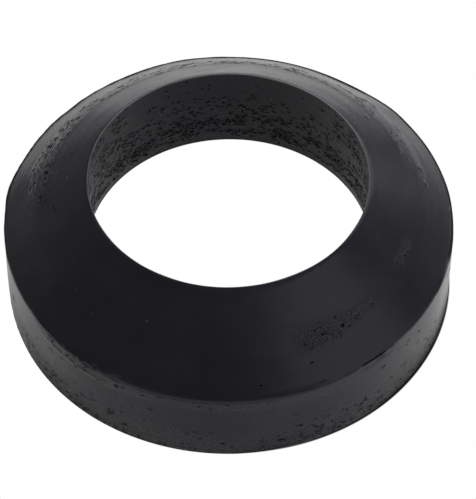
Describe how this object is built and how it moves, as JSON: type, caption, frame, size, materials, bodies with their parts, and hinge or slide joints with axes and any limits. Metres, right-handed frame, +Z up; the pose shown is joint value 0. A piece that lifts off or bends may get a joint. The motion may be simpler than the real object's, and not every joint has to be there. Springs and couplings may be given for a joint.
{
  "type": "cistern donut washer",
  "caption": "Thick black rubber sealing ring: a straight band under a cone that narrows to a wide bore, with a nut recess underneath.",
  "frame": {"origin": "where the bore's axis meets the flat plane that the washer stands on", "axes": "+Z up along the bore's axis, from the flat side to the tapered end; round about Z, so X and Y are free"},
  "size_m": [0.1, 0.1, 0.0339],
  "materials": {
    "rubber": "moulded, semi-matt, with fine open pores"
  },
  "bodies": {
    "root": {"washer": "rubber"}
  },
  "joints": []
}
